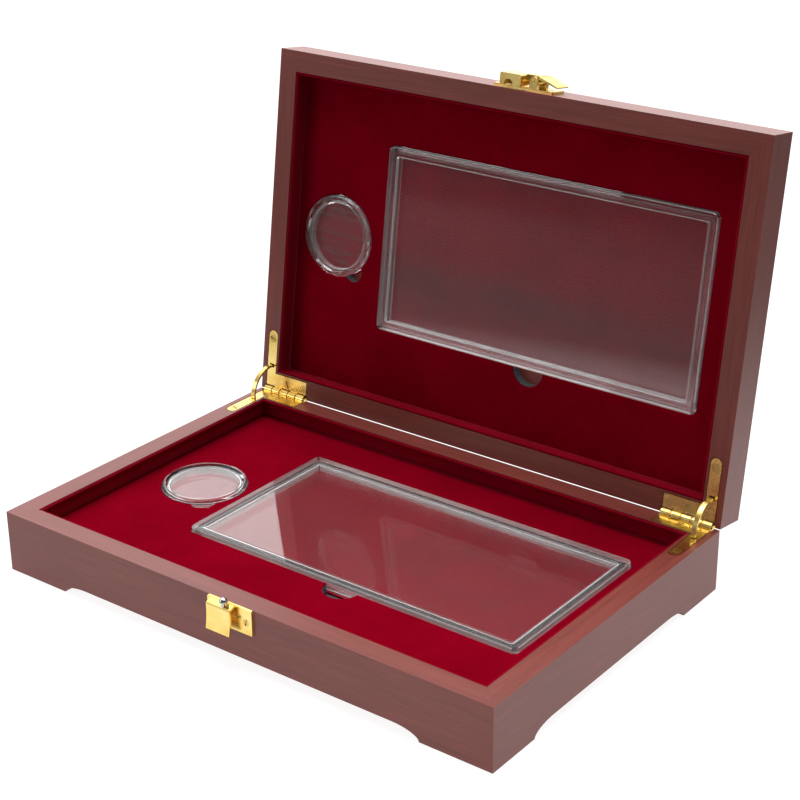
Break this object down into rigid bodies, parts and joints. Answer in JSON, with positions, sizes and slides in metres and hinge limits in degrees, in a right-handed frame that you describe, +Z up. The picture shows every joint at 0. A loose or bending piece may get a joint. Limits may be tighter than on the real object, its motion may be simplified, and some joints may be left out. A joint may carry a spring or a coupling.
{
  "type": "coin display tray",
  "caption": "Hinged wooden presentation box on scalloped feet, velvet lined, with clear coin and note holders in both halves.",
  "frame": {"origin": "middle of the tray's footprint, on the surface it stands on", "axes": "+X to the right seen from the front, along the long side; +Y towards the hinges; +Z up"},
  "size_m": [0.245, 0.204, 0.1919],
  "materials": {
    "mahogany": "satin lacquer",
    "crimson_velvet": "flocked velvet",
    "foam": "dark foam",
    "clear_acrylic": "clear, polished",
    "polished_brass": "polished, lacquered",
    "screw_brass": "polished",
    "steel": "polished"
  },
  "bodies": {
    "tray": {"base_front_rail": "mahogany", "base_back_rail": "mahogany", "base_left_rail": "mahogany", "base_right_rail": "mahogany", "base_bottom_panel": "mahogany", "base_velvet_face": "crimson_velvet", "base_pocket_velvet": "crimson_velvet", "base_velvet_lining": "crimson_velvet", "base_foam_core": "foam", "hinge_left_base_leaf": "polished_brass", "hinge_left_pin": "polished_brass", "hinge_right_base_leaf": "polished_brass", "hinge_right_pin": "polished_brass", "keeper_plate": "polished_brass", "base_hinge_screws": "screw_brass", "keeper_screws": "screw_brass", "keeper_stud": "steel"},
    "lid": {"lid_front_rail": "mahogany", "lid_back_rail": "mahogany", "lid_left_rail": "mahogany", "lid_right_rail": "mahogany", "lid_top_panel": "mahogany", "lid_velvet_face": "crimson_velvet", "lid_pocket_velvet": "crimson_velvet", "lid_velvet_lining": "crimson_velvet", "lid_foam_core": "foam", "hinge_left_lid_leaf": "polished_brass", "hinge_right_lid_leaf": "polished_brass", "latch_plate": "polished_brass", "latch_pin": "polished_brass", "lid_hinge_screws": "screw_brass", "latch_screws": "screw_brass"},
    "left_stay": {"stay_left": "polished_brass"},
    "right_stay": {"stay_right": "polished_brass"},
    "latch": {"latch_lever": "polished_brass"},
    "base_slab": {"base_slab_tray": "clear_acrylic", "base_slab_cover": "clear_acrylic"},
    "base_capsule": {"base_capsule_tray": "clear_acrylic", "base_capsule_cover": "clear_acrylic"},
    "lid_slab": {"lid_slab_tray": "clear_acrylic", "lid_slab_cover": "clear_acrylic"},
    "lid_capsule": {"lid_capsule_tray": "clear_acrylic", "lid_capsule_cover": "clear_acrylic"}
  },
  "joints": [
    {"name": "lid_hinge", "type": "hinge", "parent": "tray", "child": "lid", "pos_m": [0, 0.0801, 0.0272], "axis": [-1, 0, 0], "range_deg": [-98.13, 0]},
    {"name": "left_stay_swing", "type": "hinge", "parent": "tray", "child": "left_stay", "pos_m": [0, 0.0801, 0.0272], "axis": [-1, 0, 0], "range_deg": [-49.07, 0]},
    {"name": "right_stay_swing", "type": "hinge", "parent": "tray", "child": "right_stay", "pos_m": [0, 0.0801, 0.0272], "axis": [-1, 0, 0], "range_deg": [-49.07, 0]},
    {"name": "latch_press", "type": "hinge", "parent": "lid", "child": "latch", "pos_m": [0.011, 0.11093, 0.18856], "axis": [0, 0.9899, -0.1414], "range_deg": [0, 7], "stiffness_Nm_per_rad": 0.06, "springref_deg": -11.46},
    {"name": "base_slab_lift", "type": "slide", "parent": "tray", "child": "base_slab", "axis": [0, 0, 1], "range_m": [0, 0.02]},
    {"name": "base_capsule_lift", "type": "slide", "parent": "tray", "child": "base_capsule", "axis": [0, 0, 1], "range_m": [0, 0.02]},
    {"name": "lid_slab_lift", "type": "slide", "parent": "lid", "child": "lid_slab", "axis": [0, -0.9899, 0.1414], "range_m": [0, 0.02]},
    {"name": "lid_capsule_lift", "type": "slide", "parent": "lid", "child": "lid_capsule", "axis": [0, -0.9899, 0.1414], "range_m": [0, 0.02]}
  ],
  "couplings": [
    {"joint": "left_stay_swing", "follows": "lid_hinge", "ratio": 0.5},
    {"joint": "right_stay_swing", "follows": "lid_hinge", "ratio": 0.5}
  ]
}
